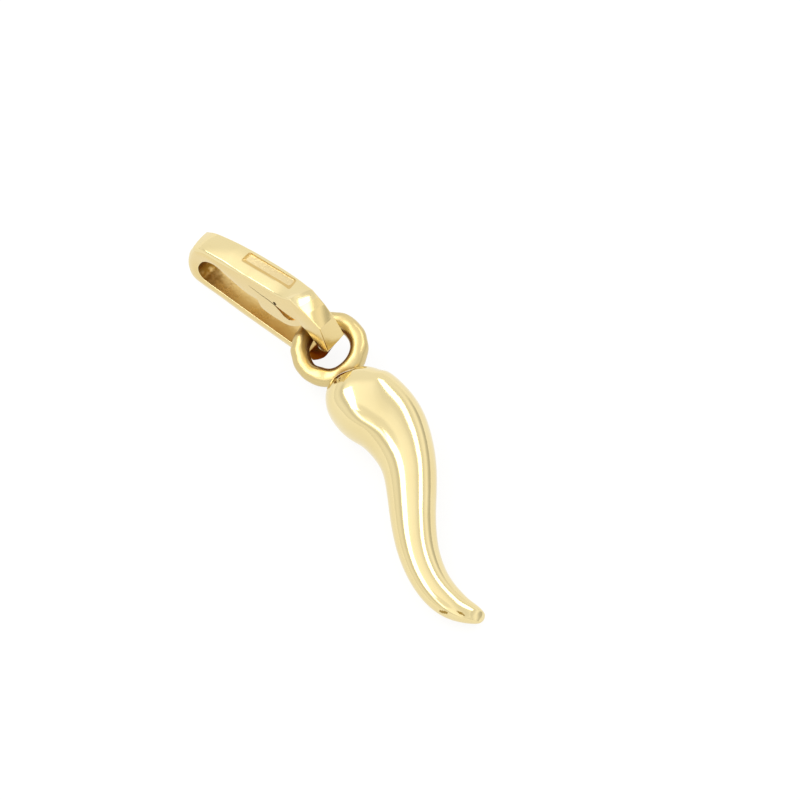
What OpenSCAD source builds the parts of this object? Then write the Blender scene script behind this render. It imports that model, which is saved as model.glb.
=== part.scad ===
/* [Bail] */
// Length of the bail loop along its lower leg
bail_l = 9.4; // [9:0.1:10]
// Height of the bail loop over both legs, at the shoulder
bail_h = 4.8; // [4.4:0.1:5.4]
// Width of the bail strip where it passes through the ring
strip_w = 1.39; // [1.2:0.01:1.6]
// Width added to the strip at the middle of its length
strip_swell = 0.38; // [0.2:0.02:0.5]
// Length of the sunk plate on the upper leg
plate_l = 3.35; // [2.8:0.05:3.5]
// Width of the sunk plate on the upper leg
plate_w = 0.56; // [0.4:0.02:0.8]
// Depth of the sunk plate on the upper leg
plate_sink = 0.07; // [0.04:0.01:0.1]
// Rim left between the sunk plate and the strip's far edge
plate_rim = 0.28; // [0.15:0.01:0.4]
// Depth of the open seam in the bail's side
seam_deep = 0.35; // [0.2:0.05:0.5]
// Diameter of the small pin hole in the side seam
pin_d = 0.2; // [0.14:0.02:0.24]

/* [Ring] */
// Thickness of the ring's wire across the ring
wire_w = 0.92; // [0.8:0.01:1.05]
// Thickness of the ring's wire along the ring's axis
wire_t = 0.96; // [0.8:0.01:1.05]
// How much wider than the strip the ring's hole is
ring_play = 0.71; // [0.6:0.01:1]
// Lean of the ring out of the flat, in degrees
ring_lean = 15; // [10:1:18]
// How far the ring's middle lies under the horn's middle line
ring_drop = 0.4; // [0.25:0.01:0.5]

/* [Horn] */
// Length of the horn from the top of its head to its tip
horn_l = 14.8; // [13.5:0.1:16.5]
// Largest width of the horn, at its head
head_d = 3.94; // [3.5:0.02:4.4]
// Height of the horn's section as a share of its width
horn_flat = 0.93; // [0.88:0.01:1]
// Sections along the horn between two rows of its table
steps = 3; // [3:1:5]
// Points round each section of the horn
around = 28; // [24:4:40]

/* [Lay] */
// Turn of the bail from the pendant's long axis, in degrees
bail_turn = 13.3; // [12:0.1:15]
// Turn of the horn from the pendant's long axis, in degrees
horn_turn = -8.1; // [-9:0.1:-7]

/* [Hidden] */
$fn = 64;
hole_d = strip_w + ring_play;
ring_d = hole_d + wire_w;
// Place of the ring's middle along the bail and across its strip
ring_along = bail_l - 0.4;
ring_across = strip_w / 2 - 0.075;

// The bail's outer edge seen from its side, lower leg first: share of length, share of height
BAIL_OUTER = [
    [0.09, 0], [0.26, 0], [0.58, 0], [0.82, 0], [0.92, 0.06], [0.975, 0.2], [0.997, 0.37],
    [0.985, 0.51], [0.93, 0.745], [0.853, 0.93], [0.785, 1.03], [0.715, 0.93],
    [0.475, 0.823], [0.24, 0.72], [0.105, 0.63], [0.015, 0.46], [-0.005, 0.23], [0.015, 0.06]
];
// The bail's opening seen from its side: share of length, share of height
BAIL_INNER = [
    [0.137, 0.104], [0.32, 0.104], [0.63, 0.104], [0.84, 0.104], [0.92, 0.2], [0.926, 0.41],
    [0.89, 0.57], [0.82, 0.65], [0.735, 0.715], [0.55, 0.675], [0.38, 0.635],
    [0.24, 0.615], [0.158, 0.57], [0.08, 0.4], [0.08, 0.2]
];
// The lug under the upper leg seen from its side: share of length, share of height
BAIL_LUG = [
    [0.17, 0.63], [0.36, 0.445], [0.485, 0.465], [0.58, 0.375], [0.67, 0.395],
    [0.747, 0.405], [0.753, 0.52], [0.74, 0.75], [0.47, 0.74], [0.24, 0.66]
];
// The open seam in the bail's side: share of length, share of height
BAIL_SEAM = [
    [0.43, 0.672], [0.63, 0.702], [0.705, 0.72], [0.77, 0.675], [0.71, 0.625],
    [0.685, 0.675], [0.63, 0.688]
];
PIN_SPOT = [0.633, 0.705];
PLATE_SPOT = [0.466, 0.819];
// The strip's far edge seen from above: share of length, share of the swell
STRIP_FAR = [
    [-0.03, -0.1], [0.1, 0.2], [0.36, 1.1], [0.55, 1], [0.7, 0.4], [0.8, 0], [1.02, 0]
];
// The horn from head to tip: share of length, side step as a share of length, share of width
HORN = [
    [0, -0.014, 0.1], [0.006, -0.014, 0.36], [0.019, -0.013, 0.54], [0.042, -0.012, 0.7],
    [0.08, -0.008, 0.855], [0.119, -0.001, 0.945], [0.163, 0.015, 0.995], [0.229, 0.04, 0.935],
    [0.306, 0.047, 0.838], [0.405, 0.033, 0.71], [0.504, -0.008, 0.635], [0.603, -0.055, 0.573],
    [0.708, -0.091, 0.525], [0.802, -0.103, 0.487], [0.873, -0.096, 0.462], [0.923, -0.078, 0.42],
    [0.956, -0.058, 0.345], [0.983, -0.034, 0.25], [1, -0.019, 0.17]
];
// The two rows of the horn's table that it rests on
BELLY = HORN[6];
HEEL = HORN[14];

// A closed outline with its corners cut again and again until it runs smooth
function smooth(p, times) = times == 0 ? p : smooth([
    for (i = [0 : len(p) - 1], k = [0.25, 0.75])
        (1 - k) * p[i] + k * p[(i + 1) % len(p)]
], times - 1);
function side_view(rows) = [for (r = rows) [r.x * bail_l, r.y * bail_h]];
leg_slope = atan2((BAIL_OUTER[12].y - BAIL_OUTER[13].y) * bail_h,
                  (BAIL_OUTER[12].x - BAIL_OUTER[13].x) * bail_l);

// A smooth curve through four rows of a table, at share t between the middle two
function curve(a, b, c, d, t) = 0.5 * (
    2 * b + (c - a) * t + (2 * a - 5 * b + 4 * c - d) * t * t
    + (3 * b - a - 3 * c + d) * t * t * t);
function row(i) = HORN[min(max(i, 0), len(HORN) - 1)];
horn_rows = [
    for (i = [0 : len(HORN) - 2], k = [0 : steps - 1])
        curve(row(i - 1), row(i), row(i + 1), row(i + 2), k / steps),
    row(len(HORN) - 1)
];

// The horn's middle line falls evenly, so that its belly and its heel both rest
function half_wide(r) = r.z * head_d / 2;
function half_high(r) = half_wide(r) * horn_flat;
rest_slope = (half_high(BELLY) - half_high(HEEL)) / (HEEL.x - BELLY.x);
rest_z = max([for (r = horn_rows) half_high(r) + rest_slope * r.x]);
ring_z = rest_z - ring_drop;
function middle(r) = [ring_d / 2 + r.x * horn_l, r.y * horn_l, rest_z - rest_slope * r.x];
function heading(i) =
    let (a = middle(horn_rows[max(i - 1, 0)]),
         b = middle(horn_rows[min(i + 1, len(horn_rows) - 1)]))
    atan2(b.y - a.y, b.x - a.x);
function section_point(i, turn) =
    let (r = horn_rows[i], side = half_wide(r) * cos(turn), h = heading(i))
    middle(r) + [-side * sin(h), side * cos(h), half_high(r) * sin(turn)];
horn_points = [
    for (i = [0 : len(horn_rows) - 1], k = [0 : around - 1]) section_point(i, 360 * k / around)
];

// Place of the ring's middle, with the pendant centred on its frame
reach_back = cos(bail_turn) * ring_along + sin(bail_turn) * (strip_w - ring_across);
reach_tip = max([for (p = horn_points) cos(horn_turn) * p.x - sin(horn_turn) * p.y]);
reach_left = (ring_d + wire_w) / 2;
reach_right = max([for (p = horn_points) -sin(horn_turn) * p.x - cos(horn_turn) * p.y]);
ring_x = (reach_back - reach_tip) / 2;
ring_y = (reach_right - reach_left) / 2;

module rounded_square(w, t, r) {
    square([w - 2 * r, t], center = true);
    square([w, t - 2 * r], center = true);
    for (x = [-1, 1], y = [-1, 1])
        translate([x * (w / 2 - r), y * (t / 2 - r)]) circle(r);
}

// Gives a side view in the bail's plane a width across the strip
module across(from, to) {
    translate([0, to, 0]) rotate([90, 0, 0]) linear_extrude(to - from) children();
}

module horn_body() {
    last = len(horn_rows) - 1;
    walls = [
        for (i = [0 : last - 1], k = [0 : around - 1])
            let (n = (k + 1) % around)
            [i * around + k, (i + 1) * around + k, (i + 1) * around + n, i * around + n]
    ];
    head_end = [for (k = [0 : around - 1]) k];
    tip_end = [for (k = [around - 1 : -1 : 0]) last * around + k];
    polyhedron(horn_points, concat(walls, [head_end, tip_end]), convexity = 4);
}

module hang_ring() {
    translate([0, 0, ring_z]) rotate([ring_lean, 0, 0])
        rotate_extrude() translate([ring_d / 2, 0]) rounded_square(wire_w, wire_t, 0.37 * wire_w);
}

module horn() {
    color("gold") translate([ring_x, ring_y, 0]) {
        rotate(horn_turn) horn_body();
        rotate(-horn_turn) hang_ring();
    }
}

module bail_strip() {
    intersection() {
        across(-strip_w, 3 * strip_w) polygon(smooth(side_view(BAIL_OUTER), 3));
        linear_extrude(3 * bail_h, center = true)
            polygon(concat(
                [[1.02 * bail_l, 0], [-0.03 * bail_l, 0]],
                [for (r = STRIP_FAR) [r.x * bail_l, strip_w + r.y * strip_swell]]));
    }
}

module bail_opening() {
    difference() {
        across(-strip_w, 3 * strip_w) polygon(smooth(side_view(BAIL_INNER), 3));
        across(0, strip_w) polygon(smooth(side_view(BAIL_LUG), 3));
    }
}

module bail() {
    color("gold") translate([ring_x, ring_y, 0]) rotate(bail_turn)
    translate([-ring_along, -ring_across, 0]) {
        difference() {
            bail_strip();
            bail_opening();
            across(-strip_w, seam_deep) polygon(side_view(BAIL_SEAM));
            across(-strip_w, 1.4 * seam_deep)
                translate([PIN_SPOT.x * bail_l, PIN_SPOT.y * bail_h]) circle(d = pin_d);
            translate([PLATE_SPOT.x * bail_l, strip_w + strip_swell - plate_rim - plate_w / 2,
                       PLATE_SPOT.y * bail_h])
                rotate([0, -leg_slope, 0])
                    cube([plate_l, plate_w, 2 * plate_sink], center = true);
        }
    }
}

bail();
horn();
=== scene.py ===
import math
import bmesh
import bpy
from mathutils import Matrix, Vector, noise


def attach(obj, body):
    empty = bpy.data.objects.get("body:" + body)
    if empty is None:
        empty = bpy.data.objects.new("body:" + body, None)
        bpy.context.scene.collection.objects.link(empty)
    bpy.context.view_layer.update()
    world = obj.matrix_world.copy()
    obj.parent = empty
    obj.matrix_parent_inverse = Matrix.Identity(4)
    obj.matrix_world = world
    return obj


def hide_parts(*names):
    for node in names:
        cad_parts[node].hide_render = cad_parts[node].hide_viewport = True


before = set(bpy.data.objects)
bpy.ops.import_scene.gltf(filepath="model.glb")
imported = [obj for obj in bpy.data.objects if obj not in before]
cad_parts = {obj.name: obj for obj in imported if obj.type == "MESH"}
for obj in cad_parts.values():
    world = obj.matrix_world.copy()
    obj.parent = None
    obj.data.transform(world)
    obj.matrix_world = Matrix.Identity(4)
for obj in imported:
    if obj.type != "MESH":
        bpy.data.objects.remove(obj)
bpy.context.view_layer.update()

mm = 0.001
samePoint = 1e-7  # metres, points closer than this are merged
scene = bpy.context.scene

# Where the pieces lie, as in the CAD source
lay = {
    "ringX": -3.678,       # middle of the ring in the frame, mm
    "ringY": 1.205,
    "ringZ": 1.655,
    "ringOut": 1.97,       # from the ring's middle to its joint with the horn, mm
    "bailTurn": 13.3,      # degrees from the pendant's long axis
    "hornTurn": -8.1,
    "ringAlong": 9.0,      # from the bail's back end to the ring's middle, mm
    "ringAcross": 0.62,    # from the strip's near side to the ring's middle, mm
    "photoTurn": 54.0,     # the long axis runs this far off the photo's right, degrees
}


def fromPhoto(right, away, up):
    # a direction as seen in the photo, turned into the frame
    turn = math.radians(lay["photoTurn"])
    return Vector((right * math.cos(turn) - away * math.sin(turn),
                   right * math.sin(turn) + away * math.cos(turn), up))


# Camera first: nearly square on, 60 degrees above the floor
cameraPlan = {
    "lens": 270.0,                   # mm, so the frame is 40 mm wide
    "sensor": 36.0,                  # mm
    "distance": 300.0,               # mm
    "height": 60.0,                  # degrees above the floor
    "target": (-0.023, 2.888, 0.0),  # mm, the middle of the photo on the floor
    "clip": (0.01, 5.0),             # metres, nearest and furthest that it sees
}
cameraData = bpy.data.cameras.new("photoCamera")
cameraData.lens = cameraPlan["lens"]
cameraData.sensor_width = cameraPlan["sensor"]
cameraData.clip_start, cameraData.clip_end = cameraPlan["clip"]
camera = bpy.data.objects.new("photoCamera", cameraData)
scene.collection.objects.link(camera)
height = math.radians(cameraPlan["height"])
towards = fromPhoto(0, -math.cos(height), math.sin(height))
target = Vector(cameraPlan["target"]) * mm
camera.location = target + towards * cameraPlan["distance"] * mm
camera.rotation_mode = "QUATERNION"
camera.rotation_quaternion = (-towards).to_track_quat("-Z", "Y")
scene.camera = camera
scene.view_settings.view_transform = "Standard"
print("camera set")


def linearColour(hexText):
    # sRGB hex to the linear values that the shaders take
    values = [int(hexText[i:i + 2], 16) / 255 for i in (0, 2, 4)]
    return tuple(v / 12.92 if v <= 0.04045 else ((v + 0.055) / 1.055) ** 2.4 for v in values) + (1.0,)


def addNode(tree, kind, settings=None, links=None, **attributes):
    # one node with its attributes, socket values and incoming links
    node = tree.nodes.new(kind)
    for name, value in attributes.items():
        setattr(node, name, value)
    for name, value in (settings or {}).items():
        node.inputs[name].default_value = value
    for name, source in (links or {}).items():
        tree.links.new(source, node.inputs[name])
    return node


def newMaterial(name):
    material = bpy.data.materials.new(name)
    material.use_nodes = True
    tree = material.node_tree
    tree.nodes.clear()
    return material, tree


# What a user would change in the gold: 18 ct yellow gold, cast, filed and polished by hand
goldLook = {
    "colour": "EBDBA9",         # polished 18 ct yellow gold under white light
    "deepColour": "E5D198",     # a little deeper where the polish is thinner
    "edge": "FFFFFF",           # clean metal sends back white at a flat angle
    "roughness": 0.09,
    "polishRange": (0.7, 1.5),  # shares of the roughness, best polished and least polished
    "patchSize": 2.4,           # mm, patches of slightly different polish
    "rippleSize": 1.1,          # mm, the soft ripple that a polishing mop leaves
    "rippleDepth": 0.012,       # mm
    "scratches": (0.09, 0.0012),  # mm, size and depth: hair lines of the last polish, coarser than real ones
    "plateColour": "E9D3A2",
    "plateRoughness": 0.28,
    "stipple": (0.13, 0.02),    # mm, size and depth: grain that the punch leaves on the plate
    # the inside's deeper yellow is painted shade in the loop and in cut walls
    "insideColour": "CDA55A",
    "insideRoughness": 0.25,
    "pickled": (0.2, 0.006),    # mm, size and depth: grain that the pickle leaves
    # the wire's deeper colours dim its highlights: painted shade
    "wireColour": "D9C690",
    "wireDeep": "CDB67A",
    "wireRoughness": 0.3,
    "wireRipple": 1.5,          # times as deep as on the horn
    # the side and end facets' deeper colour is painted shade
    "rubbedShadeColour": "E3CA8C",
    "rubbedRoughness": 0.15,
    "nickColour": "94783A",
    "nickDeep": "B2934E",
    # painted shade and painted dark reflection for the bail's end inside the ring
    "endShadeColour": "6A3A12",
    "endShadeLight": "9A6826",
    "endShadeEdge": "A07848",   # what it sends back at a flat angle: a painted dark reflection
    "endShadeRoughness": 0.45,
    "crust": (0.3, 0.01),       # mm, size and depth: lumps of dried compound
    "paintedShadeColour": "98702A",  # painted shade: in the joint's crease, the bail's back bend and where the ring lies in the bail
    "residueRoughness": 0.4,
    "bendShade": (0.6, 2.0),    # mm from the bail's back end: painted shade full up to, gone from
    "blotchSize": 0.45,         # mm
    "blotchSpread": 4.0,        # mm, how far blotches carry that painted shade back and forth
    "jointStain": (0.55, 0.95),  # mm from the joint: painted shade full up to, gone from
    "jointRise": 0.4,           # mm, the painted shade's middle over the ring's
    "ringJointShade": (0.45, 0.8),  # mm, the same painted shade on the ring, smaller
    "rideReach": 1.3,           # mm from the ring's middle to where the bail rides
    "rideShade": (0.3, 0.8),    # mm from there: painted shade full up to, gone from
}


def stainFade(tree, away, full, gone):
    # a painted shade's strength: 1 up to full, softly down to 0 at gone
    return addNode(tree, "ShaderNodeMapRange",
                   {"From Min": full, "From Max": gone, "To Min": 1.0, "To Max": 0.0},
                   {"Value": away}, interpolation_type="SMOOTHSTEP").outputs["Result"]


def backBendStain(tree, place):
    # painted shade in the bail's deep back bend, in blotches that thin out along it
    run = math.radians(lay["bailTurn"])
    backEnd = lay["ringX"] * math.cos(run) + lay["ringY"] * math.sin(run) - lay["ringAlong"]
    down = addNode(tree, "ShaderNodeVectorMath", {1: (math.cos(run), math.sin(run), 0)}, {0: place},
                   operation="DOT_PRODUCT")
    blotch = addNode(tree, "ShaderNodeTexNoise",
                     {"Scale": 1 / (goldLook["blotchSize"] * mm), "Detail": 2.0, "Roughness": 0.6},
                     {"Vector": place})
    spread = goldLook["blotchSpread"] * mm
    shift = addNode(tree, "ShaderNodeMapRange", {"To Min": -spread / 2, "To Max": spread / 2},
                    {"Value": blotch.outputs["Fac"]})
    shifted = addNode(tree, "ShaderNodeMath", links={0: down.outputs["Value"], 1: shift.outputs["Result"]},
                      operation="ADD")
    full, gone = goldLook["bendShade"]
    return stainFade(tree, shifted.outputs["Value"], (backEnd + full) * mm, (backEnd + gone) * mm)


def stainAround(tree, place, turn, reach, rise, extent):
    # a round patch of painted shade: reach mm from the ring's middle in the direction turn, rise mm over it
    run = math.radians(turn)
    middle = (lay["ringX"] + reach * math.cos(run), lay["ringY"] + reach * math.sin(run), lay["ringZ"] + rise)
    away = addNode(tree, "ShaderNodeVectorMath", {1: [v * mm for v in middle]}, {0: place},
                   operation="DISTANCE")
    return stainFade(tree, away.outputs["Value"], extent[0] * mm, extent[1] * mm)


def jointStain(tree, place):
    # painted shade in the crease of the solder joint of ring and horn
    return stainAround(tree, place, lay["hornTurn"], lay["ringOut"], goldLook["jointRise"],
                       goldLook["jointStain"])


def ringStain(tree, place):
    # the joint's painted shade, and painted shade on the ring where the bail rides on it and shades it
    inBail = stainAround(tree, place, 180 + lay["bailTurn"], goldLook["rideReach"], 0, goldLook["rideShade"])
    atJoint = stainAround(tree, place, lay["hornTurn"], lay["ringOut"], 0, goldLook["ringJointShade"])
    either = addNode(tree, "ShaderNodeMath", links={0: atJoint, 1: inBail}, operation="MAXIMUM")
    return either.outputs["Value"]


def goldMaterial(name, colour, deepColour, roughness, grain, ripple=1.0, stain=None, edge="edge"):
    # one metal in several finishes: colour, deepColour, roughness, grain and edge are keys of goldLook
    roughness = goldLook[roughness]
    grainSize, grainDepth = goldLook[grain]
    best, least = goldLook["polishRange"]
    material, tree = newMaterial(name)
    place = addNode(tree, "ShaderNodeTexCoord").outputs["Object"]
    patches = addNode(tree, "ShaderNodeTexNoise",
                      {"Scale": 1 / (goldLook["patchSize"] * mm), "Detail": 3.0, "Roughness": 0.55},
                      {"Vector": place}).outputs["Fac"]
    tone = addNode(tree, "ShaderNodeMix",
                   {"A": linearColour(goldLook[colour]), "B": linearColour(goldLook[deepColour])},
                   {"Factor": patches}, data_type="RGBA")
    rippleNoise = addNode(tree, "ShaderNodeTexNoise",
                          {"Scale": 1 / (goldLook["rippleSize"] * mm), "Detail": 1.5, "Roughness": 0.4},
                          {"Vector": place})
    rippleBump = addNode(tree, "ShaderNodeBump",
                         {"Strength": 1.0, "Distance": ripple * goldLook["rippleDepth"] * mm},
                         {"Height": rippleNoise.outputs["Fac"]})
    grainNoise = addNode(tree, "ShaderNodeTexNoise",
                         {"Scale": 1 / (grainSize * mm), "Detail": 2.0, "Roughness": 0.6}, {"Vector": place})
    grainBump = addNode(tree, "ShaderNodeBump", {"Strength": 1.0, "Distance": grainDepth * mm},
                        {"Height": grainNoise.outputs["Fac"], "Normal": rippleBump.outputs["Normal"]})
    polish = addNode(tree, "ShaderNodeMapRange", {"To Min": roughness * best, "To Max": roughness * least},
                     {"Value": patches})
    colourOut, polishOut = tone.outputs["Result"], polish.outputs["Result"]
    # painted shade: its strength mixes in a brown colour and a duller roughness
    if stain:
        strength = stain(tree, place)
        stained = addNode(tree, "ShaderNodeMix", {"B": linearColour(goldLook["paintedShadeColour"])},
                          {"Factor": strength, "A": colourOut}, data_type="RGBA")
        duller = addNode(tree, "ShaderNodeMapRange", {"To Max": goldLook["residueRoughness"]},
                         {"Value": strength, "To Min": polishOut})
        colourOut, polishOut = stained.outputs["Result"], duller.outputs["Result"]
    shader = addNode(tree, "ShaderNodeBsdfPrincipled",
                     {"Metallic": 1.0, "Specular Tint": linearColour(goldLook[edge])},
                     {"Base Color": colourOut, "Roughness": polishOut, "Normal": grainBump.outputs["Normal"]})
    addNode(tree, "ShaderNodeOutputMaterial", links={"Surface": shader.outputs["BSDF"]})
    return material


# Mirror bright with a faint ripple, which breaks long reflections into soft streaks
polishedGold = goldMaterial("polishedGold", "colour", "deepColour", "roughness", "scratches")
# The same, with brown painted shade in the crease of the solder joint
hornGold = goldMaterial("hornGold", "colour", "deepColour", "roughness", "scratches", stain=jointStain)
# The punch's struck field: the same gold, duller and finely grained, with no mop's ripple
punchedGold = goldMaterial("punchedGold", "plateColour", "deepColour", "plateRoughness", "stipple", 0.0)
# Seam walls and the bail's inside: satin; deeper yellow, and brown at the back, as painted shade
pickledGold = goldMaterial("pickledGold", "insideColour", "deepColour", "insideRoughness", "pickled",
                           stain=backBendStain)
# The ring's wire: polished less than the horn, so its highlights spread; its deeper colour dims them as
# painted shade, and it has painted shade at the joint and in the bail
wireGold = goldMaterial("wireGold", "wireColour", "wireDeep", "wireRoughness", "scratches",
                        goldLook["wireRipple"], ringStain)
# Polishing compound dried in a nick: brown and dull
residueGold = goldMaterial("residueGold", "nickColour", "nickDeep", "residueRoughness", "crust")
# Painted shade and painted dark reflection on the bail's end inside the ring: dark, with no white gleam at
# its edges
compoundGold = goldMaterial("compoundGold", "endShadeColour", "endShadeLight", "endShadeRoughness", "crust",
                            edge="endShadeEdge")
# The strip's side and end, rubbed flat on a stone: rougher, and a little deeper than the polished top as
# painted shade
rubbedGold = goldMaterial("rubbedGold", "rubbedShadeColour", "deepColour", "rubbedRoughness", "scratches")
print("gold made")


def finishPiece(piece, node, *materials):
    for material in materials:
        if material.name not in piece.data.materials:
            piece.data.materials.append(material)
    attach(piece, "root")
    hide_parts(node)


def mergeAndTurnOut(shape):
    # merges doubled points and points every face outwards
    bmesh.ops.remove_doubles(shape, verts=shape.verts, dist=samePoint)
    bmesh.ops.recalc_face_normals(shape, faces=shape.faces)


def meshPiece(name, points, faces):
    mesh = bpy.data.meshes.new(name)
    mesh.from_pydata(points, [], faces)
    shape = bmesh.new()
    shape.from_mesh(mesh)
    mergeAndTurnOut(shape)
    shape.to_mesh(mesh)
    shape.free()
    piece = bpy.data.objects.new(name, mesh)
    scene.collection.objects.link(piece)
    return piece


def evaluatedMesh(piece):
    # the piece's mesh with its modifiers applied
    return bpy.data.meshes.new_from_object(piece.evaluated_get(bpy.context.evaluated_depsgraph_get()))


def cornerCut(rows, times):
    # cuts the corners of a closed loop of rows again and again until it runs smooth
    for _ in range(times):
        rows = [tuple(a + (b - a) * share for a, b in zip(row, rows[(i + 1) % len(rows)]))
                for i, row in enumerate(rows) for share in (0.25, 0.75)]
    return rows


def gridFaces(rings, around):
    # quads over rings of points, closed both ways
    return [((i % rings) * around + k, (i % rings) * around + (k + 1) % around,
             ((i + 1) % rings) * around + (k + 1) % around, ((i + 1) % rings) * around + k)
            for i in range(rings) for k in range(around)]


# The bail: one strip folded into a closed loop, seen from its near side
bail = {
    "nearSide": 0.07,     # mm from the CAD strip's near side
    "footOut": 0.14,      # mm, how far the near side's foot steps out at the back
    "footHigh": 1.7,      # mm up, the foot is what lies under this
    "footLine": 5.0,      # mm along, where the foot is in line with the side, to step in beyond
    "edgeRound": (0.09, 0.03, 0.08, 0.1),  # mm, filed edges: outer near, inner near, inner far, outer far
    "wornRound": 0.2,     # mm, the outer near edge at the back end
    "wornTo": (2.2, 3.6),  # mm along, where that wear begins to fade and is gone
    "crown": 0.035,       # mm, how far the filed faces swell
    "innerCrown": 0.4,    # share of that for the face inside the loop
    "smoothing": 4,       # times that the corners of its rows are cut
    "sharpAngle": 38,     # degrees, a steeper edge shows as an edge
    "paintedShadePast": 8.3,      # mm along, the end that hangs inside the ring and gets painted shade
    "paintedShadeUnder": 2.46,    # mm up
    "rubbedShadePast": 8.6,    # mm along, the end facets, which get the side's painted shade
    "cutFrom": -0.5,      # mm across, where the cutters of seam and pin hole start, clear of the side
    "seamDeep": 0.17,     # mm
    "pinAt": (5.90, 3.46),  # mm, along and up
    "pinWide": 0.22,      # mm
    "pinDeep": 2.5,       # times as deep as the seam
    "plateLong": 3.15,    # mm
    "plateWide": 0.52,    # mm
    "plateDeep": 0.045,   # mm
    "plateCorner": 0.12,  # mm, the round of its corners
    "plateClear": 0.3,    # mm, how far its cutter stands over the strip
    "plateAt": (4.66, 1.08, 4.045),  # middle of the plate: along, across and up, mm
    "plateSlope": 12.6,   # degrees
    "plateWalls": (1.7, 0.3),  # how far the near and far walls lean out, as a share of the depth
    "plateEnd": 0.1,      # mm, a wall this close to the ring end is its end wall
}
# Near outer edge, near inner edge and far outer edge, each along and up, far side's place across, and how
# often the corner counts in the smoothing
bailRows = [
    (0.85, 0.03, 1.25, 0.62, 0.85, 0.03, 1.46, 1),
    (2.20, 0.03, 2.50, 0.62, 2.20, 0.03, 1.50, 1),
    (4.00, 0.03, 4.20, 0.60, 4.00, 0.03, 1.54, 1),
    (6.00, 0.03, 6.10, 0.60, 6.00, 0.03, 1.48, 1),
    (7.60, 0.03, 7.50, 0.62, 7.60, 0.03, 1.37, 1),
    (8.14, 0.14, 7.90, 0.70, 8.14, 0.14, 1.35, 1),
    (8.70, 0.88, 8.20, 1.12, 8.42, 0.90, 1.35, 1),
    (9.10, 1.58, 8.54, 1.76, 8.70, 1.66, 1.35, 1),
    (9.32, 2.14, 8.74, 2.04, 9.02, 2.20, 1.35, 1),
    (9.35, 2.56, 8.82, 2.20, 9.36, 2.62, 1.35, 3),
    (8.86, 4.16, 8.42, 2.62, 8.68, 3.56, 1.35, 3),
    (7.94, 4.52, 8.02, 3.00, 8.10, 4.14, 1.35, 3),
    (6.86, 4.91, 7.60, 3.16, 7.26, 4.69, 1.35, 3),
    (6.66, 4.74, 7.38, 2.80, 6.94, 4.60, 1.38, 1),
    (6.36, 4.54, 6.85, 2.25, 6.50, 4.50, 1.44, 1),
    (5.79, 4.32, 6.20, 2.05, 5.79, 4.32, 1.51, 1),
    (4.92, 4.14, 5.30, 1.93, 4.92, 4.14, 1.54, 1),
    (4.40, 4.03, 4.86, 2.02, 4.40, 4.03, 1.54, 1),
    (4.10, 3.97, 4.74, 2.52, 4.10, 3.97, 1.54, 1),
    (3.80, 3.89, 4.45, 2.42, 3.80, 3.90, 1.54, 1),
    (3.30, 3.78, 4.00, 2.31, 3.30, 3.80, 1.53, 1),
    (2.80, 3.66, 3.30, 2.42, 2.80, 3.70, 1.50, 1),
    (2.24, 3.54, 2.60, 2.55, 2.24, 3.57, 1.48, 1),
    (1.50, 3.38, 1.85, 2.72, 1.42, 3.26, 1.47, 1),
    (0.88, 3.24, 1.32, 2.52, 0.62, 2.88, 1.47, 1),
    (0.34, 2.78, 0.98, 2.10, 0.10, 2.40, 1.47, 3),
    (0.04, 2.05, 0.76, 1.62, -0.12, 1.80, 1.47, 1),
    (-0.06, 1.15, 0.68, 1.20, -0.12, 1.15, 1.47, 1),
    (0.08, 0.50, 0.78, 0.86, 0.08, 0.50, 1.47, 1),
    (0.35, 0.12, 0.98, 0.68, 0.35, 0.12, 1.47, 1),
]
# The open seam and the gap at its end, in the near side: along and up
seamLine = [(4.17, 3.345), (5.03, 3.325), (5.43, 3.365), (5.90, 3.335), (6.42, 3.30), (6.89, 3.32),
            (7.28, 3.35), (7.05, 3.06), (6.81, 2.85), (6.50, 2.87), (6.20, 3.09), (5.90, 3.26),
            (5.43, 3.31), (5.03, 3.28), (4.17, 3.32)]
edgeSteps = 6
faceSteps = [16, 8, 8, 16]   # near, inner, far and outer face
pinStep, plateCornerStep = 20, 15   # degrees between the points of their outlines


def bailPlace(along, across, up):
    # from along, across and up in the bail to the frame, in metres
    turn = math.radians(lay["bailTurn"])
    x = along - lay["ringAlong"]
    y = across - lay["ringAcross"]
    return Vector((lay["ringX"] + x * math.cos(turn) - y * math.sin(turn),
                   lay["ringY"] + x * math.sin(turn) + y * math.cos(turn), up)) * mm


def nearFace(along, up):
    # the near side's place across
    low = max(0, 1 - up / bail["footHigh"])
    return bail["nearSide"] - bail["footOut"] * (1 - along / bail["footLine"]) * low


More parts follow.
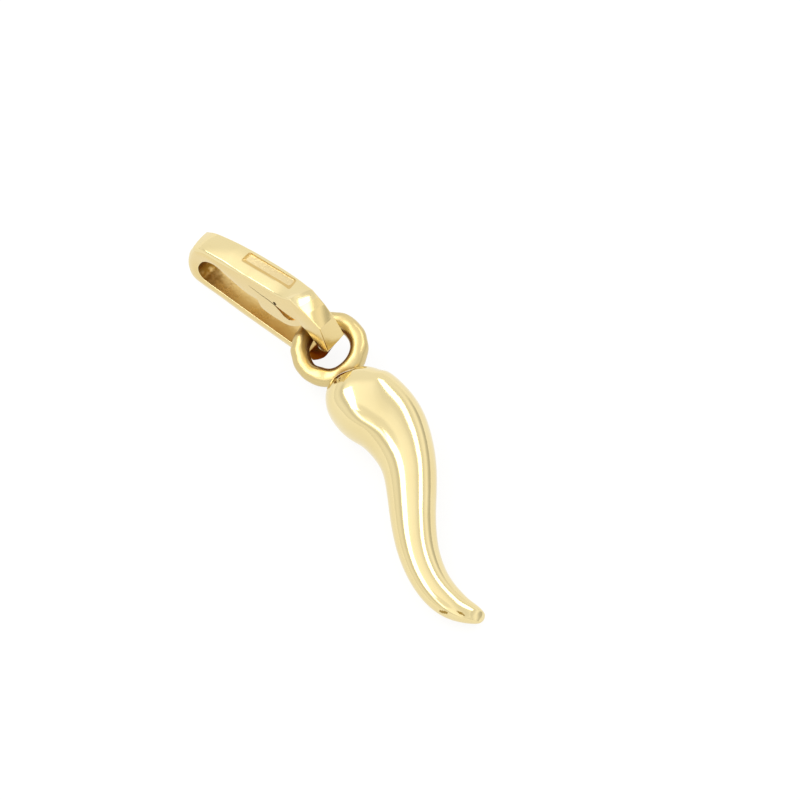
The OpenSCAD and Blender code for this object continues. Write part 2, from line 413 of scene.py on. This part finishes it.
def bailSection(row):
    # one section of the strip as a ring of points: near face, inner face, far face, outer face
    along, up, innerAlong, innerUp, farAlong, farUp, far = row
    outerNear = Vector((along, nearFace(along, up), up))
    innerNear = Vector((innerAlong, nearFace(innerAlong, innerUp), innerUp))
    outerFar = Vector((farAlong, far, farUp))
    innerFar = Vector((innerAlong, far, innerUp))
    corners = [outerNear, innerNear, innerFar, outerFar]
    out = (outerNear - innerNear).normalized()
    swell = [Vector((0, -1, 0)), -out * bail["innerCrown"], Vector((0, 1, 0)), out]
    wearFrom, wearTo = bail["wornTo"]
    unworn = min(max((along - wearFrom) / (wearTo - wearFrom), 0), 1)
    edgeRound = list(bail["edgeRound"])
    edgeRound[0] += (bail["wornRound"] - edgeRound[0]) * (1 - unworn)
    points = []
    for i, corner in enumerate(corners):
        after = corners[(i + 1) % 4]
        before = corners[i - 1]
        back = (before - corner).normalized() * edgeRound[i]
        ahead = (after - corner).normalized() * edgeRound[i]
        for k in range(edgeSteps + 1):
            t = k / edgeSteps
            points.append(corner + back * (1 - t) ** 2 + ahead * t ** 2)
        start, end = corner + ahead, after + (corner - after).normalized() * edgeRound[(i + 1) % 4]
        for k in range(1, faceSteps[i]):
            t = k / faceSteps[i]
            # the swell is whole in the middle of a face and gone at its edges
            points.append(start.lerp(end, t) + swell[i] * bail["crown"] * 4 * t * (1 - t))
    return points


def cutter(name, outline, depth, place):
    # a prism from an outline: each point is placed at both depths
    count = len(outline)
    points = [place(p, d) for d in depth for p in outline]
    faces = [tuple(range(count)), tuple(range(2 * count - 1, count - 1, -1))]
    faces += [(i, (i + 1) % count, count + (i + 1) % count, count + i) for i in range(count)]
    return meshPiece(name, points, faces)


def cutAway(piece, tool):
    # takes the tool's shape out of the piece; the cut walls keep the tool's material
    cut = piece.modifiers.new("cut", "BOOLEAN")
    cut.operation = "DIFFERENCE"
    cut.solver = "EXACT"
    cut.material_mode = "TRANSFER"
    cut.object = tool
    mesh = evaluatedMesh(piece)
    piece.modifiers.clear()
    piece.data = mesh
    bpy.data.objects.remove(tool)


bailLoop = cornerCut([row[:7] for row in bailRows for _ in range(row[7])], bail["smoothing"])
bailPoints = [bailPlace(*p) for row in bailLoop for p in bailSection(row)]
around = len(bailPoints) // len(bailLoop)
bailStrip = meshPiece("bailStrip", bailPoints, gridFaces(len(bailLoop), around))
for material in (polishedGold, pickledGold, compoundGold, rubbedGold):
    bailStrip.data.materials.append(material)
innerStart = edgeSteps + faceSteps[0] + edgeSteps
for i, face in enumerate(bailStrip.data.polygons):
    along, up = bailLoop[i // around][:2]
    onNearFace = edgeSteps <= i % around < edgeSteps + faceSteps[0]
    # the index is the material's place in the list above
    # painted shade on the end inside the ring, on the inner face and on the side and end facets
    if along > bail["paintedShadePast"] and up < bail["paintedShadeUnder"]:
        face.material_index = 2
    elif innerStart <= i % around < innerStart + faceSteps[1] + edgeSteps // 2:
        face.material_index = 1
    elif onNearFace or along > bail["rubbedShadePast"]:
        face.material_index = 3


def sidePlace(p, d):
    # a point of the side's outline at a depth across the strip
    return bailPlace(p[0], d, p[1])


pinAlong, pinUp = bail["pinAt"]
pinRound = [(pinAlong + bail["pinWide"] / 2 * math.cos(math.radians(a)),
             pinUp + bail["pinWide"] / 2 * math.sin(math.radians(a))) for a in range(0, 360, pinStep)]
for name, outline, deep in (("seamTool", seamLine, bail["seamDeep"]),
                            ("pinTool", pinRound, bail["pinDeep"] * bail["seamDeep"])):
    tool = cutter(name, outline, (bail["cutFrom"], bail["nearSide"] + deep), sidePlace)
    # the cut walls get the inside's painted shade
    tool.data.materials.append(pickledGold)
    cutAway(bailStrip, tool)


def platePlace(p, d):
    # the struck field's walls lean out towards its rim
    slope = math.radians(bail["plateSlope"])
    leanNear, leanFar = bail["plateWalls"]
    x = p[0] + (d * leanNear if p[0] > 0 else -d * leanFar)
    y = p[1] + (d * leanFar if p[1] > 0 else -d * leanNear)
    along, across, up = bail["plateAt"]
    return bailPlace(along + x * math.cos(slope) - d * math.sin(slope), across + y,
                     up + x * math.sin(slope) + d * math.cos(slope))


halfLong, halfWide, cornerRound = bail["plateLong"] / 2, bail["plateWide"] / 2, bail["plateCorner"]
plateOutline = []
for cornerX, cornerY, first in ((1, 1, 0), (-1, 1, 90), (-1, -1, 180), (1, -1, 270)):
    for step in range(0, 91, plateCornerStep):
        angle = math.radians(first + step)
        plateOutline.append((cornerX * (halfLong - cornerRound) + cornerRound * math.cos(angle),
                             cornerY * (halfWide - cornerRound) + cornerRound * math.sin(angle)))
plateTool = cutter("plateTool", plateOutline, (-bail["plateDeep"], bail["plateClear"]), platePlace)
plateTool.data.materials.append(punchedGold)
plateTool.data.materials.append(pickledGold)
for face in plateTool.data.polygons:
    # the wall on the near side and the one at the ring end get the inside's painted shade
    outline = [plateOutline[i % len(plateOutline)] for i in face.vertices]
    nearWall = len(outline) == 4 and max(p[1] for p in outline) < 0
    endWall = min(p[0] for p in outline) > halfLong - bail["plateEnd"]
    face.material_index = 1 if nearWall or endWall else 0
cutAway(bailStrip, plateTool)
bailStrip.data.shade_smooth()
bailStrip.data.set_sharp_from_angle(angle=math.radians(bail["sharpAngle"]))
finishPiece(bailStrip, "bail", polishedGold, punchedGold, pickledGold, compoundGold, rubbedGold)
print("bail made", len(bailStrip.data.polygons), "faces")

# The ring: soft squared wire, soldered to the horn's head
ring = {
    "wireWide": 0.92,     # mm across the ring
    "wireThick": 0.96,    # mm along the ring's axis
    "middle": 3.02,       # mm, diameter of the wire's middle line
    "lean": 15.0,         # degrees out of the flat
    "square": 2.25,       # 2 is round wire, more is squarer
    "lumpSize": 0.6,      # mm, unevenness of a wire bent and soldered by hand
    "lumpDepth": 0.045,   # mm
}
ringSteps, wireSteps = 180, 44   # points round the ring and round its wire
turnRing = Matrix.Rotation(math.radians(ring["lean"]), 3, "X")
ringMiddle = Vector((lay["ringX"], lay["ringY"], lay["ringZ"]))
wirePower = 2 / ring["square"]
ringPoints = []
for i in range(ringSteps):
    ringTurn = 2 * math.pi * i / ringSteps
    for k in range(wireSteps):
        wireTurn = 2 * math.pi * k / wireSteps
        c, s = math.cos(wireTurn), math.sin(wireTurn)
        side = math.copysign(abs(c) ** wirePower, c) * ring["wireWide"] / 2
        up = math.copysign(abs(s) ** wirePower, s) * ring["wireThick"] / 2
        reach = ring["middle"] / 2 + side
        point = Vector((reach * math.cos(ringTurn), reach * math.sin(ringTurn), up))
        out = Vector((c * math.cos(ringTurn), c * math.sin(ringTurn), s))
        point += out * noise.noise(point / ring["lumpSize"]) * ring["lumpDepth"]
        ringPoints.append((ringMiddle + turnRing @ point) * mm)
hangRing = meshPiece("hangRing", ringPoints, gridFaces(ringSteps, wireSteps))
hangRing.data.shade_smooth()
finishPiece(hangRing, "horn", wireGold)
print("ring made")

# The horn: a round section swept along a curved middle line, by Geometry Nodes
horn = {
    "long": 14.8,        # mm from the top of the head to the tip
    "headWide": 3.94,    # mm, the widest section
    "flat": 0.93,        # height of a section as a share of its width
    "corner": 2.5,       # 2 is a round section, more is squarer
    "belly": 7,          # rows of the table that rest on the floor
    "heel": 15,
    "rippleSize": 2.2,   # mm, soft hand-filed unevenness
    "rippleDepth": 0.025,  # mm
    "mopRounds": 14,
    "sharpAngle": 40,    # degrees, a steeper edge shows as an edge
    "pointsRound": 96,
    "rowSteps": 8,       # sections from one row of the table to the next
    # flats snipped off the tip: the way each faces (right, away, up in the photo) and how much goes, mm
    "tipCuts": [((0.47, -0.42, 0.77), 0.09), ((0.88, -0.35, 0.33), 0.09)],
    "tipReach": 1.3,     # mm, what counts as the tip
    "tipSections": 24,   # the last sections, which give the tip's direction
    # nicks in its top where compound stays: place from the tip (right and away in the photo), half length
    # and half width, mm
    "nicks": [((-1.985, 0.09), 0.22, 0.035), ((-1.155, -0.01), 0.22, 0.045)],
    "rows": [
        # shares of: length, side step in length, width, lean to the left in height, squareness
        (0.017, -0.014, 0.03, 0, 0), (0.018, -0.014, 0.14, 0, 0), (0.025, -0.013, 0.32, 0, 0),
        (0.036, -0.013, 0.5, 0.02, 0.1), (0.052, -0.012, 0.68, 0.04, 0.3),
        (0.084, -0.008, 0.845, 0.08, 0.7),
        (0.121, -0.001, 0.945, 0.08, 1), (0.163, 0.015, 0.995, 0.08, 1), (0.229, 0.04, 0.935, 0.05, 0.9),
        (0.306, 0.047, 0.838, 0, 0.6), (0.405, 0.033, 0.71, 0, 0.2), (0.504, -0.008, 0.635, 0, 0),
        (0.603, -0.055, 0.573, 0.03, 0), (0.708, -0.091, 0.525, 0.13, 0), (0.802, -0.103, 0.487, 0.21, 0),
        (0.873, -0.096, 0.462, 0.25, 0), (0.923, -0.078, 0.42, 0.25, 0), (0.956, -0.058, 0.35, 0.2, 0),
        (0.983, -0.036, 0.275, 0.12, 0), (1.002, -0.02, 0.2, 0.05, 0), (1.012, -0.011, 0.12, 0, 0),
        (1.016, -0.008, 0.03, 0, 0),
    ],
}


def between(a, b, c, d, t):
    # a smooth curve through four values, at share t between the middle two
    bend = 2 * a - 5 * b + 4 * c - d
    return 0.5 * (2 * b + (c - a) * t + bend * t * t + (3 * b - a - 3 * c + d) * t ** 3)


def halfHigh(row):
    # half the height of a section, mm
    return row[2] * horn["headWide"] / 2 * horn["flat"]


def hornLine(steps):
    # points of the middle line with the half width, lean and squareness at each, in mm
    rows = horn["rows"]
    last = len(rows) - 1
    table = []
    for i in range(last):
        four = [rows[min(max(i + k, 0), last)] for k in (-1, 0, 1, 2)]
        table += [tuple(between(*[r[n] for r in four], j / steps) for n in range(5)) for j in range(steps)]
    table.append(rows[last])
    # the line falls evenly, so that belly and heel both rest
    belly, heel = rows[horn["belly"]], rows[horn["heel"]]
    slope = (halfHigh(belly) - halfHigh(heel)) / (heel[0] - belly[0])
    restZ = max(halfHigh(r) + slope * r[0] for r in table)
    turn = math.radians(lay["hornTurn"])
    line = []
    for r in table:
        x = ring["middle"] / 2 + r[0] * horn["long"]
        y = r[1] * horn["long"]
        line.append((lay["ringX"] + x * math.cos(turn) - y * math.sin(turn),
                     lay["ringY"] + x * math.sin(turn) + y * math.cos(turn),
                     restZ - slope * r[0], r[2] * horn["headWide"] / 2, r[3], r[4]))
    return line


hornTable = hornLine(horn["rowSteps"])
hornMesh = bpy.data.meshes.new("hornBody")
hornMesh.from_pydata([Vector(p[:3]) * mm for p in hornTable],
                     [(i, i + 1) for i in range(len(hornTable) - 1)], [])
# what the sweep reads at each point of the line, and its kind
lineMarks = {"halfWidth": "FLOAT", "lean": "FLOAT", "squareness": "FLOAT", "middle": "FLOAT_VECTOR",
             "sideWay": "FLOAT_VECTOR"}
for name, kind in lineMarks.items():
    hornMesh.attributes.new(name, kind, "POINT")
marks = hornMesh.attributes
for i, p in enumerate(hornTable):
    run = Vector(hornTable[min(i + 1, len(hornTable) - 1)][:3]) - Vector(hornTable[max(i - 1, 0)][:3])
    marks["halfWidth"].data[i].value = p[3] * mm
    marks["lean"].data[i].value = p[4]
    marks["squareness"].data[i].value = p[5]
    marks["middle"].data[i].vector = Vector(p[:3]) * mm
    marks["sideWay"].data[i].vector = Vector((-run.y, run.x, 0)).normalized()
hornBody = bpy.data.objects.new("hornBody", hornMesh)
scene.collection.objects.link(hornBody)

hornTree = bpy.data.node_groups.new("hornSweep", "GeometryNodeTree")
hornTree.interface.new_socket("Geometry", in_out="INPUT", socket_type="NodeSocketGeometry")
hornSockets = {}
for name, kind in (("Flatness", "NodeSocketFloat"), ("Points round", "NodeSocketInt"),
                   ("Corner", "NodeSocketFloat"), ("Ripple size", "NodeSocketFloat"),
                   ("Ripple depth", "NodeSocketFloat"), ("Mop rounds", "NodeSocketInt")):
    hornSockets[name] = hornTree.interface.new_socket(name, in_out="INPUT", socket_type=kind).identifier
hornTree.interface.new_socket("Geometry", in_out="OUTPUT", socket_type="NodeSocketGeometry")
given = addNode(hornTree, "NodeGroupInput").outputs
mark = {name: addNode(hornTree, "GeometryNodeInputNamedAttribute", {"Name": name},
                      data_type=kind).outputs["Attribute"] for name, kind in lineMarks.items()}
path = addNode(hornTree, "GeometryNodeMeshToCurve", links={"Mesh": given["Geometry"]})
upright = addNode(hornTree, "GeometryNodeSetCurveNormal", links={"Curve": path.outputs["Curve"]}, mode="Z_UP")
circle = addNode(hornTree, "GeometryNodeCurvePrimitiveCircle", {"Radius": 1.0},
                 {"Resolution": given["Points round"]}, mode="RADIUS")
flatten = addNode(hornTree, "ShaderNodeCombineXYZ", {"X": 1.0, "Z": 1.0}, {"Y": given["Flatness"]})
section = addNode(hornTree, "GeometryNodeTransform",
                  links={"Geometry": circle.outputs["Curve"], "Scale": flatten.outputs["Vector"]})
sweep = addNode(hornTree, "GeometryNodeCurveToMesh", {"Fill Caps": True},
                {"Curve": upright.outputs["Curve"], "Profile Curve": section.outputs["Geometry"],
                 "Scale": mark["halfWidth"]})

# each section is made squarer by its own share: its reach from the middle line grows where it is round
position = addNode(hornTree, "GeometryNodeInputPosition").outputs["Position"]
fromMiddle = addNode(hornTree, "ShaderNodeVectorMath", links={0: position, 1: mark["middle"]},
                     operation="SUBTRACT").outputs["Vector"]
aside = addNode(hornTree, "ShaderNodeVectorMath", links={0: fromMiddle, 1: mark["sideWay"]},
                operation="DOT_PRODUCT").outputs["Value"]
above = addNode(hornTree, "ShaderNodeSeparateXYZ", links={"Vector": fromMiddle}).outputs["Z"]
halfHeight = addNode(hornTree, "ShaderNodeMath", links={0: mark["halfWidth"], 1: given["Flatness"]},
                     operation="MULTIPLY").outputs["Value"]
powers = []
for offset, half in ((aside, mark["halfWidth"]), (above, halfHeight)):
    ratio = addNode(hornTree, "ShaderNodeMath", links={0: offset, 1: half}, operation="DIVIDE")
    share = addNode(hornTree, "ShaderNodeMath", links={0: ratio.outputs["Value"]}, operation="ABSOLUTE")
    powers.append(addNode(hornTree, "ShaderNodeMath", links={0: share.outputs["Value"], 1: given["Corner"]},
                          operation="POWER").outputs["Value"])
both = addNode(hornTree, "ShaderNodeMath", links={0: powers[0], 1: powers[1]}, operation="ADD")
inverse = addNode(hornTree, "ShaderNodeMath", {0: -1.0}, {1: given["Corner"]}, operation="DIVIDE")
reachOut = addNode(hornTree, "ShaderNodeMath", links={0: both.outputs["Value"], 1: inverse.outputs["Value"]},
                   operation="POWER")
growth = addNode(hornTree, "ShaderNodeMath", {1: 1.0}, {0: reachOut.outputs["Value"]}, operation="SUBTRACT")
grown = addNode(hornTree, "ShaderNodeMath", links={0: growth.outputs["Value"], 1: mark["squareness"]},
                operation="MULTIPLY")
squarer = addNode(hornTree, "ShaderNodeVectorMath", links={0: fromMiddle, "Scale": grown.outputs["Value"]},
                  operation="SCALE")
# and its top leans to the photo's left, against the side way
leaned = addNode(hornTree, "ShaderNodeMath", links={0: above, 1: mark["lean"]}, operation="MULTIPLY")
toLeft = addNode(hornTree, "ShaderNodeMath", {1: -1.0}, {0: leaned.outputs["Value"]}, operation="MULTIPLY")
leaning = addNode(hornTree, "ShaderNodeVectorMath",
                  links={0: mark["sideWay"], "Scale": toLeft.outputs["Value"]}, operation="SCALE")
sectionShift = addNode(hornTree, "ShaderNodeVectorMath",
                       links={0: squarer.outputs["Vector"], 1: leaning.outputs["Vector"]}, operation="ADD")
shaped = addNode(hornTree, "GeometryNodeSetPosition",
                 links={"Geometry": sweep.outputs["Mesh"], "Offset": sectionShift.outputs["Vector"]})

# the file's unevenness, in and out of the surface
rippleScale = addNode(hornTree, "ShaderNodeMath", {0: 1.0}, {1: given["Ripple size"]}, operation="DIVIDE")
ripple = addNode(hornTree, "ShaderNodeTexNoise", {"Detail": 1.0, "Roughness": 0.4},
                 {"Vector": position, "Scale": rippleScale.outputs["Value"]})
centred = addNode(hornTree, "ShaderNodeMath", {1: 0.5}, {0: ripple.outputs["Fac"]}, operation="SUBTRACT")
depth = addNode(hornTree, "ShaderNodeMath", links={0: centred.outputs["Value"], 1: given["Ripple depth"]},
                operation="MULTIPLY")
normal = addNode(hornTree, "GeometryNodeInputNormal")
push = addNode(hornTree, "ShaderNodeVectorMath",
               links={0: normal.outputs["Normal"], "Scale": depth.outputs["Value"]}, operation="SCALE")
uneven = addNode(hornTree, "GeometryNodeSetPosition",
                 links={"Geometry": shaped.outputs["Geometry"], "Offset": push.outputs["Vector"]})
# the mop rounds whatever the sections left sharp
mopped = addNode(hornTree, "GeometryNodeBlurAttribute", {"Weight": 1.0},
                 {"Value": position, "Iterations": given["Mop rounds"]}, data_type="FLOAT_VECTOR")
soft = addNode(hornTree, "GeometryNodeSetPosition",
               links={"Geometry": uneven.outputs["Geometry"], "Position": mopped.outputs["Value"]})
real = addNode(hornTree, "GeometryNodeRealizeInstances", links={"Geometry": soft.outputs["Geometry"]})
dress = addNode(hornTree, "GeometryNodeSetMaterial", {"Material": hornGold},
                {"Geometry": real.outputs["Geometry"]})
addNode(hornTree, "NodeGroupOutput", links={"Geometry": dress.outputs["Geometry"]})

sweepStep = hornBody.modifiers.new("hornSweep", "NODES")
sweepStep.node_group = hornTree
sweepStep[hornSockets["Flatness"]] = horn["flat"]
sweepStep[hornSockets["Points round"]] = horn["pointsRound"]
sweepStep[hornSockets["Corner"]] = horn["corner"]
sweepStep[hornSockets["Ripple size"]] = horn["rippleSize"] * mm
sweepStep[hornSockets["Ripple depth"]] = horn["rippleDepth"] * mm
sweepStep[hornSockets["Mop rounds"]] = horn["mopRounds"]
swept = evaluatedMesh(hornBody)
hornBody.modifiers.clear()
hornBody.data = swept

shape = bmesh.new()
shape.from_mesh(swept)
mergeAndTurnOut(shape)
lowest = min(v.co.z for v in shape.verts)
bmesh.ops.translate(shape, verts=shape.verts, vec=(0, 0, -lowest))
# the tip is snipped off aslant, twice
tipAt = Vector(hornTable[-1][:3]) * mm - Vector((0, 0, lowest))
tipReach = horn["tipReach"] * mm
for way, taken in horn["tipCuts"]:
    facing = fromPhoto(*way).normalized()
    cutAt = max(facing.dot(v.co) for v in shape.verts if (v.co - tipAt).length < tipReach) - taken * mm
    bmesh.ops.bisect_plane(shape, geom=shape.verts[:] + shape.edges[:] + shape.faces[:],
                           plane_co=facing * cutAt, plane_no=facing, clear_outer=False)
    # only what is cut off at the tip goes: the plane may meet the head too
    lost = [f for f in shape.faces if facing.dot(f.calc_center_median()) > cutAt
            and (f.calc_center_median() - tipAt).length < tipReach]
    bmesh.ops.delete(shape, geom=lost, context="FACES")
    rim = [e for e in shape.edges if e.is_boundary]
    bmesh.ops.edgeloop_fill(shape, edges=rim)
shape.faces.index_update()
mostCorners = 8  # of a face in the sweep, so one with more is a flat
flats = [f.index for f in shape.faces if len(f.verts) > mostCorners]
beforeTip = hornTable[-1 - horn["tipSections"]]
tipRun = (Vector(hornTable[-1][:2] + (0,)) - Vector(beforeTip[:2] + (0,))).normalized()
for face in shape.faces:
    for spot, halfLength, halfWidth in horn["nicks"]:
        fromNick = face.calc_center_median() - tipAt - fromPhoto(*spot, 0) * mm
        fromNick.z = 0
        down = fromNick.dot(tipRun)
        beside = fromNick - tipRun * down
        inNick = (down / halfLength) ** 2 + beside.length_squared / halfWidth ** 2 < mm ** 2
        if inNick and face.normal.z > 0:
            face.material_index = 1
shape.to_mesh(swept)
shape.free()
swept.shade_smooth()
swept.materials.append(residueGold)
for i in flats:
    swept.polygons[i].use_smooth = False
swept.set_sharp_from_angle(angle=math.radians(horn["sharpAngle"]))
finishPiece(hornBody, "horn", hornGold, residueGold)
print("horn made", len(swept.polygons), "faces, lowest", lowest)

# A lit white table top, an even light tent and two long soft boxes beside the horn
studio = {
    "tentWhite": 1.1,
    # the tent's brightness from its left wall over the top to its right wall: degrees from straight up, share
    "tent": [(-180, 0.9), (-90, 0.84), (-82, 0.9), (-72, 0.95), (-64, 0.88), (-57, 0.72), (-52, 0.74),
             (-47, 0.9), (-40, 1.12), (-30, 1.2), (-18, 1.2), (-9, 1.16), (0, 1.12), (8, 1.08), (16, 0.98),
             (22, 0.86), (27, 0.86), (31, 1.0), (35, 1.02), (40, 0.84), (46, 0.8), (52, 0.86), (60, 1.02),
             (66, 1.08), (71, 0.96), (76, 0.7), (82, 0.58), (90, 0.56), (180, 0.9)],
    "backWall": 0.94,       # share of the tent's plain back wall
    "backFrom": (0.62, 0.84),  # how far away a direction points where the wall begins and is whole
    "shadeWay": (-0.3, -0.45, 1.0),  # where the camera hides the tent: right, away, up
    "shadeLeft": 0.8,       # share of the tent's light that is left there
    "shadeEdge": (0.93, 0.985),  # how far a direction points that way where the shade begins and is whole
    "tableReach": 0.6,      # metres from the pendant to the table's edges
    "tableGlow": 0.86,      # the lit table top under the pendant
    "tableMatte": "626262",
    "tableRoughness": 0.9,
    "boxHeight": 130.0,     # mm over the table
    "boxes": {
        # middle (right, away) and size (right, away) as shares of the height, turn in degrees, brightness
        "leftBox": ((-0.72, 0.15), (0.58, 1.28), 2.0, 2.4),
        "leftFill": ((-0.72, -1.05), (0.3, 1.1), 4.0, 1.35),
        "rightBox": ((0.74, 0.88), (0.40, 1.44), 6.0, 2.5),
    },
}
white = (1, 1, 1, 1)
tableMaterial, tree = newMaterial("whiteTableTop")
glow = addNode(tree, "ShaderNodeEmission", {"Color": white, "Strength": studio["tableGlow"]})
matte = addNode(tree, "ShaderNodeBsdfPrincipled",
                {"Base Color": linearColour(studio["tableMatte"]), "Roughness": studio["tableRoughness"]})
lit = addNode(tree, "ShaderNodeAddShader", links={0: glow.outputs["Emission"], 1: matte.outputs["BSDF"]})
addNode(tree, "ShaderNodeOutputMaterial", links={"Surface": lit.outputs["Shader"]})
tableMesh = bpy.data.meshes.new("tableTop")
reach = studio["tableReach"]
tableMesh.from_pydata([(-reach, -reach, 0), (reach, -reach, 0), (reach, reach, 0), (-reach, reach, 0)],
                      [], [(0, 1, 2, 3)])
tableTop = bpy.data.objects.new("tableTop", tableMesh)
tableMesh.materials.append(tableMaterial)
scene.collection.objects.link(tableTop)

world = bpy.data.worlds.new("lightTent")
scene.world = world
world.use_nodes = True
tree = world.node_tree
tree.nodes.clear()
way = addNode(tree, "ShaderNodeTexCoord").outputs["Generated"]
sideShare = addNode(tree, "ShaderNodeVectorMath", {1: fromPhoto(1, 0, 0)}, {0: way}, operation="DOT_PRODUCT")
upShare = addNode(tree, "ShaderNodeSeparateXYZ", links={"Vector": way})
tilt = addNode(tree, "ShaderNodeMath", links={0: sideShare.outputs["Value"], 1: upShare.outputs["Z"]},
               operation="ARCTAN2")
rampPlace = addNode(tree, "ShaderNodeMapRange", {"From Min": -math.pi, "From Max": math.pi},
                    {"Value": tilt.outputs["Value"]})
bands = addNode(tree, "ShaderNodeValToRGB", links={"Fac": rampPlace.outputs["Result"]})
bands.color_ramp.interpolation = "EASE"
stops = bands.color_ramp.elements
while len(stops) < len(studio["tent"]):
    stops.new(0.5)
# all the places first, because a stop that moves past another changes places with it
for stop, (degrees, share) in zip(stops, studio["tent"]):
    stop.position = (degrees + 180) / 360
for stop, (degrees, share) in zip(stops, studio["tent"]):
    stop.color = (share, share, share, 1)
awayShare = addNode(tree, "ShaderNodeVectorMath", {1: fromPhoto(0, 1, 0)}, {0: way}, operation="DOT_PRODUCT")
backWall = addNode(tree, "ShaderNodeMapRange",
                   {"From Min": studio["backFrom"][0], "From Max": studio["backFrom"][1]},
                   {"Value": awayShare.outputs["Value"]}, interpolation_type="SMOOTHSTEP")
walls = addNode(tree, "ShaderNodeMix", {"B": (studio["backWall"],) * 3 + (1.0,)},
                {"Factor": backWall.outputs["Result"], "A": bands.outputs["Color"]}, data_type="RGBA")
shadeShare = addNode(tree, "ShaderNodeVectorMath", {1: fromPhoto(*studio["shadeWay"]).normalized()},
                     {0: way}, operation="DOT_PRODUCT")
shade = addNode(tree, "ShaderNodeMapRange",
                {"From Min": studio["shadeEdge"][0], "From Max": studio["shadeEdge"][1],
                 "To Min": studio["tentWhite"], "To Max": studio["tentWhite"] * studio["shadeLeft"]},
                {"Value": shadeShare.outputs["Value"]}, interpolation_type="SMOOTHSTEP")
strength = addNode(tree, "ShaderNodeMath", links={0: walls.outputs["Result"], 1: shade.outputs["Result"]},
                   operation="MULTIPLY")
tent = addNode(tree, "ShaderNodeBackground", {"Color": white}, {"Strength": strength.outputs["Value"]})
addNode(tree, "ShaderNodeOutputWorld", links={"Surface": tent.outputs["Background"]})

boxHigh = studio["boxHeight"] * mm
for name, (middle, size, turn, bright) in studio["boxes"].items():
    lamp = bpy.data.lights.new(name, "AREA")
    lamp.shape = "RECTANGLE"
    lamp.size, lamp.size_y = size[0] * boxHigh, size[1] * boxHigh
    # a lamp of pi watts a square metre is as bright as white
    lamp.energy = bright * math.pi * lamp.size * lamp.size_y
    box = bpy.data.objects.new(name, lamp)
    box.location = fromPhoto(*middle, 1) * boxHigh
    box.rotation_euler = (0, 0, math.radians(lay["photoTurn"] + turn))
    scene.collection.objects.link(box)
print("studio lit")
